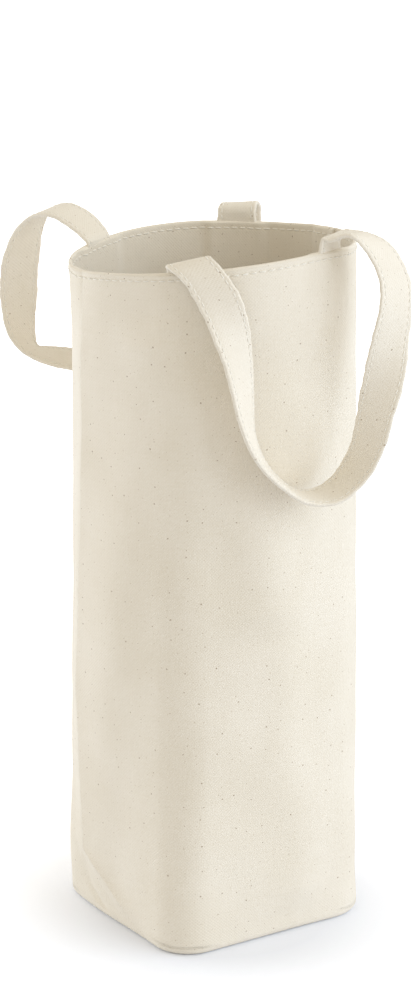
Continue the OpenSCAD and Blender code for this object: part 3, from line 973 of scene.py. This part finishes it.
def rim_stitches(name, front):
    """The row of stitching below the rim, seen outside and inside."""
    turns, lengths = rim_lengths(front)
    count = round(lengths[-1] / RIM_PITCH)
    pitch = lengths[-1] / count
    gap, height, dive = RIM_STITCH
    share = 1 - STITCH_BELOW / BAG_H
    at = np.linspace(-1, 1, 7)
    rise = height - dive * np.abs(at) ** 3
    points, faces, cloth = [], [], []
    for k in range(count):
        turn = np.interp((k + 0.5) * pitch + at * (pitch / 2 - gap), lengths, turns)
        dent = stitch_dent(turn, STITCH_BELOW, front)
        inner = HEM_IN + hem_lift(turn, share, front) - INNER_DENT_SHARE * dent
        for depth in (dent - rise, inner + rise):
            tube(wall_point(turn, share, depth, front), points, faces, cloth)
    obj = make_object(name, np.concatenate(points), faces, np.concatenate(cloth))
    obj.data.materials.append(THREAD)
    return obj


# Materials

# Spacing of the yarns, depths of the weave and of the thread's twist, and how strongly both shade
YARN_GAP = 0.0007
WEAVE_DEPTH = 0.00016
THREAD_DEPTH = 0.00006
BUMP_STRENGTH = 0.5

# Specks of seed husk: size of a cell, share of cells with a speck, least and largest radius, strength, colour
SPECKS = (
    (0.0072, 0.40, 0.00022, 0.00046, 0.75, (0.30, 0.22, 0.15, 1)),
    (0.0038, 0.50, 0.00016, 0.00030, 0.50, (0.42, 0.32, 0.22, 1)),
)

# How far the specks' outlines wander, and how finely
SPECK_RAGGED = (0.0006, 0.0003, 0)
SPECK_RAGGED_SCALE = 2600


class Nodes:
    """Adds and links the nodes of a material or a world."""

    def __init__(self, owner):
        self.owner = owner
        owner.use_nodes = True
        self.tree = owner.node_tree
        self.shader = self.tree.nodes.get("Principled BSDF")

    def add(self, kind, **settings):
        node = self.tree.nodes.new("ShaderNode" + kind)
        for key, value in settings.items():
            setattr(node, key, value)
        return node

    def feed(self, socket, value):
        if isinstance(value, (int, float, tuple)):
            socket.default_value = value
        else:
            self.tree.links.new(value, socket)

    def math(self, operation, a, b=None, clamp=False):
        node = self.add("Math", operation=operation, use_clamp=clamp)
        self.feed(node.inputs[0], a)
        if b is not None:
            self.feed(node.inputs[1], b)
        return node.outputs[0]

    def plus(self, a, b, share, clamp=False):
        """A value and a share of another."""
        return self.math("ADD", a, self.math("MULTIPLY", b, share), clamp)

    def vector(self, operation, *values):
        node = self.add("VectorMath", operation=operation)
        for socket, value in zip(node.inputs, values):
            self.feed(socket, value)
        return node.outputs["Value" if operation == "LENGTH" else "Vector"]

    def mix(self, share, a, b):
        node = self.add("Mix", data_type="RGBA")
        for socket, value in ((0, share), (6, a), (7, b)):
            self.feed(node.inputs[socket], value)
        return node.outputs[2]

    def noise(self, vector, scales, detail, rough=0.5):
        """Noise with a scale of its own along each way of the cloth."""
        node = self.add("TexNoise", noise_dimensions="3D")
        self.feed(node.inputs["Vector"], self.vector("MULTIPLY", vector, scales))
        for socket, number in (("Scale", 1), ("Detail", detail), ("Roughness", rough)):
            self.feed(node.inputs[socket], number)
        return node.outputs["Fac"]

    def map(self, value, *ends, kind="LINEAR"):
        """A value taken from one range to another, by both their ends."""
        node = self.add("MapRange", interpolation_type=kind)
        self.feed(node.inputs["Value"], value)
        for socket, number in zip(("From Min", "From Max", "To Min", "To Max"), ends):
            self.feed(node.inputs[socket], number)
        return node.outputs["Result"]

    def cloth(self):
        """The cloth's own coordinates, then the first and the second of them."""
        source = self.add("Attribute", attribute_name="cloth", attribute_type="GEOMETRY")
        parts = self.add("SeparateXYZ")
        self.feed(parts.inputs[0], source.outputs["Vector"])
        return source.outputs["Vector"], parts.outputs["X"], parts.outputs["Y"]

    def surface(self, **values):
        """Sets or links the shader's own inputs, with an underscore for each space in their names."""
        for name, value in values.items():
            self.feed(self.shader.inputs[name.replace("_", " ")], value)

    def raise_by(self, height, depth):
        node = self.add("Bump")
        self.feed(node.inputs["Strength"], BUMP_STRENGTH)
        self.feed(node.inputs["Distance"], depth)
        self.feed(node.inputs["Height"], height)
        self.surface(Normal=node.outputs[0])


def specks(n, cloth, cell, share, small, large):
    """Dots of seed husk: 1 inside a dot and 0 outside, one in some of the cells."""
    ragged = n.add("TexNoise")
    n.feed(ragged.inputs["Vector"], cloth)
    n.feed(ragged.inputs["Scale"], SPECK_RAGGED_SCALE)
    dots = n.add("TexVoronoi", voronoi_dimensions="2D", feature="F1")
    n.feed(dots.inputs["Vector"], n.vector("MULTIPLY_ADD", ragged.outputs["Color"], SPECK_RAGGED, cloth))
    n.feed(dots.inputs["Scale"], 1 / cell)
    parts = n.add("SeparateColor")
    n.feed(parts.inputs[0], dots.outputs["Color"])
    size = n.map(parts.outputs["Green"], 0, 1, small / cell, large / cell)
    here = n.math("LESS_THAN", parts.outputs["Red"], share)
    ratio = n.math("DIVIDE", dots.outputs["Distance"], size)
    return n.math("MULTIPLY", n.map(ratio, 0.5, 1.0, 1, 0, kind="SMOOTHSTEP"), here)


def cloth_material(name, colour):
    n = Nodes(bpy.data.materials.new(name))
    cloth, u, v = n.cloth()
    # plain weave: a yarn over and a yarn under in turn, both ways, with uneven yarns
    wander = n.math("MULTIPLY", n.noise(cloth, (700, 700, 300), 2), 1.8)
    phase_u = n.plus(wander, u, math.pi / YARN_GAP)
    phase_v = n.plus(wander, v, math.pi / YARN_GAP)
    over = n.math("MULTIPLY", n.math("SINE", phase_u), n.math("SINE", phase_v))
    ribs = n.math("COSINE", n.math("ADD", phase_u, phase_v))
    weave = n.plus(over, ribs, 0.25)
    # thick and thin yarns
    weft = n.noise(cloth, (60, 1400, 40), 1.5)
    warp = n.noise(cloth, (1400, 60, 40), 1.5)
    yarn = n.math("SUBTRACT", n.math("ADD", weft, warp), 1.0)
    large = n.noise(cloth, (28, 22, 9), 3)
    fine = n.noise(cloth, (1100, 1100, 400), 3, 0.6)
    dark = tuple(c * k for c, k in zip(colour, (0.92, 0.905, 0.87))) + (1,)
    light = tuple(min(1, c * k) for c, k in zip(colour, (1.03, 1.035, 1.05))) + (1,)
    tone = n.plus(n.map(large, 0.3, 0.7, 0.45, 0.85, kind="SMOOTHSTEP"), yarn, 0.35)
    tone = n.plus(tone, weave, 0.16)
    tone = n.plus(tone, n.math("SUBTRACT", fine, 0.5), 0.5, clamp=True)
    base = n.mix(tone, dark, light)
    for cell, share, small, large_r, strength, brown in SPECKS:
        dot = specks(n, cloth, cell, share, small, large_r)
        base = n.mix(n.math("MULTIPLY", dot, strength), base, brown)
    n.surface(Base_Color=base, Roughness=n.map(fine, 0.2, 0.8, 0.82, 0.95))
    n.surface(Specular_IOR_Level=0.25, Sheen_Weight=0.22, Sheen_Roughness=0.5)
    height = n.plus(n.math("MULTIPLY", weave, 0.5), yarn, 0.5)
    n.raise_by(n.plus(height, fine, 0.6), WEAVE_DEPTH)
    return n.owner


def thread_material(name, colour):
    n = Nodes(bpy.data.materials.new(name))
    cloth, across, along = n.cloth()
    twist = n.math("SINE", n.plus(n.math("MULTIPLY", across, 4500), along, 11000))
    fuzz = n.noise(cloth, (3000, 3000, 3000), 2)
    tone = n.plus(fuzz, twist, 0.25, clamp=True)
    dark = tuple(c * 0.86 for c in colour) + (1,)
    n.surface(Base_Color=n.mix(tone, dark, colour + (1,)), Roughness=n.map(fuzz, 0.2, 0.8, 0.6, 0.8))
    n.surface(Sheen_Weight=0.15)
    n.raise_by(twist, THREAD_DEPTH)
    return n.owner


CANVAS = cloth_material("canvas_cloth", (0.82, 0.765, 0.665))
STRAP = cloth_material("strap_cloth", (0.84, 0.79, 0.70))
THREAD = thread_material("cotton_thread", (0.95, 0.915, 0.835))


# The bag's cloth
front_cloth = bag_half("front_cloth", True)
back_cloth = bag_half("back_cloth", False)
for cloth, nodes in ((front_cloth, ("front_panel", "front_hem")), (back_cloth, ("back_panel", "back_hem"))):
    cloth.data.materials.append(CANVAS)
    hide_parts(*nodes)
for piece, node in (
    (side_allowance("left_seam_allowance", "left"), "left_side_seam"),
    (side_allowance("right_seam_allowance", "right"), "right_side_seam"),
    (corner_allowance("left_corner_allowance", "left"), "left_corner_seam"),
    (corner_allowance("right_corner_allowance", "right"), "right_corner_seam"),
    (bottom_allowance("bottom_seam_allowance"), "bottom_seam"),
):
    piece.data.materials.append(CANVAS)
    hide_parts(node)
    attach(piece, "bag")
for cloth in (front_cloth, back_cloth):
    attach(cloth, "bag")
for name, front in (("front_rim_stitches", True), ("back_rim_stitches", False)):
    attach(rim_stitches(name, front), "bag")

# The handles: tucked ends, folds over the rim, and the hanging loop between them
for label, handle in HANDLES.items():
    strap = Strap(handle)
    sewn, free = TUCK_ROWS, handle["free_rows"]
    cuts = [0, *(strap.length_at(row) for row in (sewn, free[0], -1 - free[1], -1 - sewn)), strap.s[-1]]
    pieces = []
    for k, part_name in enumerate(("left_tuck", "left_fold", "loop", "right_fold", "right_tuck")):
        piece = strap_part(f"{label}_{part_name}", strap, cuts[k], cuts[k + 1], (k == 0, k == 4))
        pieces.append(piece)
    for side, tuck, fold in (("left", pieces[0], pieces[1]), ("right", pieces[4], pieces[3])):
        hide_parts(f"{label}_{side}_end")
        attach(tuck, "bag")
        way, _ = handle["roots"][0 if side == "left" else 1]
        start, (_, out, up) = root_axes(handle["turn"], way)
        # how far the fold reaches along a line that leans outward and down from its root, at its sewn end and
        # at its free one
        lean = unit(out - 0.5 * up)
        rows = (sewn, free[0]) if side == "left" else (-1 - sewn, -1 - free[1])
        held = ((strap.ring(rows[0]) - start) @ lean).max()
        swung = ((strap.ring(rows[1]) - start) @ lean).min()
        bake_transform(fold)
    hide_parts(label)
    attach(pieces[2], label)


# Floor, world and lights

# Half the floor's width, and how far it lies below the bag, so that the two faces don't meet
FLOOR_HALF = 6
FLOOR_DROP = 0.0001

# The floor's own white fades towards a point near the bag's foot, which paints shade round the base on top of
# the
# real shadow: that point, the distances from it at which the white starts to rise and is full, and its least
# strength
PAINTED_SHADE_MIDDLE = (-0.004, -0.012, 0)
GLOW_NEAR = 0.05
GLOW_FAR = 0.20
GLOW_LOW = 0.05

WHITE = (1, 1, 1, 1)
AMBIENT_COLOUR = (1.0, 0.925, 0.785, 1)
AMBIENT_STRENGTH = 0.76


def floor_material():
    """Pale matt floor that shows the shadow near the object and pure white, to the camera, further away. Near
    the object the white fades, which adds painted shade round the base to the real shadow.
    """
    n = Nodes(bpy.data.materials.new("floor"))
    n.surface(Base_Color=(0.83, 0.86, 0.94, 1), Roughness=0.9, Specular_IOR_Level=0.1)
    place = n.add("NewGeometry")
    away = n.vector("LENGTH", n.vector("SUBTRACT", place.outputs["Position"], PAINTED_SHADE_MIDDLE))
    rays = n.add("LightPath")
    seen = n.math("MAXIMUM", rays.outputs["Is Camera Ray"], rays.outputs["Is Glossy Ray"])
    seen = n.math("MAXIMUM", seen, rays.outputs["Is Transmission Ray"])
    glow = n.add("Emission")
    # the camera's white is weakest near the bag's foot: painted shade round the base, on top of the real
    # shadow
    n.feed(glow.inputs["Strength"], n.math("MULTIPLY", seen, n.map(away, GLOW_NEAR, GLOW_FAR, GLOW_LOW, 1.0)))
    both = n.add("AddShader")
    n.feed(both.inputs[0], n.shader.outputs[0])
    n.feed(both.inputs[1], glow.outputs[0])
    n.feed(n.tree.nodes["Material Output"].inputs["Surface"], both.outputs[0])
    return n.owner


floor_corners = [(x * FLOOR_HALF, y * FLOOR_HALF, 0) for x, y in ((-1, -1), (1, -1), (1, 1), (-1, 1))]
floor = make_object("floor", floor_corners, [(0, 1, 2, 3)], flat_from=0)
floor.location.z = -FLOOR_DROP
floor.data.materials.append(floor_material())


def world_light():
    """Warm light from all round, while the camera and glossy rays see white."""
    n = Nodes(bpy.data.worlds.new("world"))
    ambient = n.tree.nodes["Background"]
    n.feed(ambient.inputs["Color"], AMBIENT_COLOUR)
    n.feed(ambient.inputs["Strength"], AMBIENT_STRENGTH)
    white = n.add("Background")
    n.feed(white.inputs["Color"], WHITE)
    rays = n.add("LightPath")
    either = n.add("MixShader")
    n.feed(either.inputs[0], n.math("MAXIMUM", rays.outputs["Is Camera Ray"], rays.outputs["Is Glossy Ray"]))
    n.feed(either.inputs[1], ambient.outputs[0])
    n.feed(either.inputs[2], white.outputs[0])
    n.feed(n.tree.nodes["World Output"].inputs["Surface"], either.outputs[0])
    return n.owner


def area_light(name, place, target, size, power, colour):
    data = bpy.data.lights.new(name, "AREA")
    data.shape = "RECTANGLE"
    data.size, data.size_y = size
    data.energy = power
    data.color = colour
    light = bpy.data.objects.new(name, data)
    bpy.context.scene.collection.objects.link(light)
    light.location = place
    light.rotation_euler = (Vector(target) - Vector(place)).to_track_quat("-Z", "Y").to_euler()


bpy.context.scene.world = world_light()
area_light("right_softbox", (1.6, -1.9, 1.3), (0, 0, 0.2), (3.0, 2.6), 43.5, (0.87, 0.99, 1.14))
area_light("left_softbox", (-0.72, 1.0, 0.16), (0, 0, 0.12), (0.9, 0.7), 8.5, (0.91, 0.99, 1.09))

bpy.context.scene.view_settings.view_transform = "Standard"
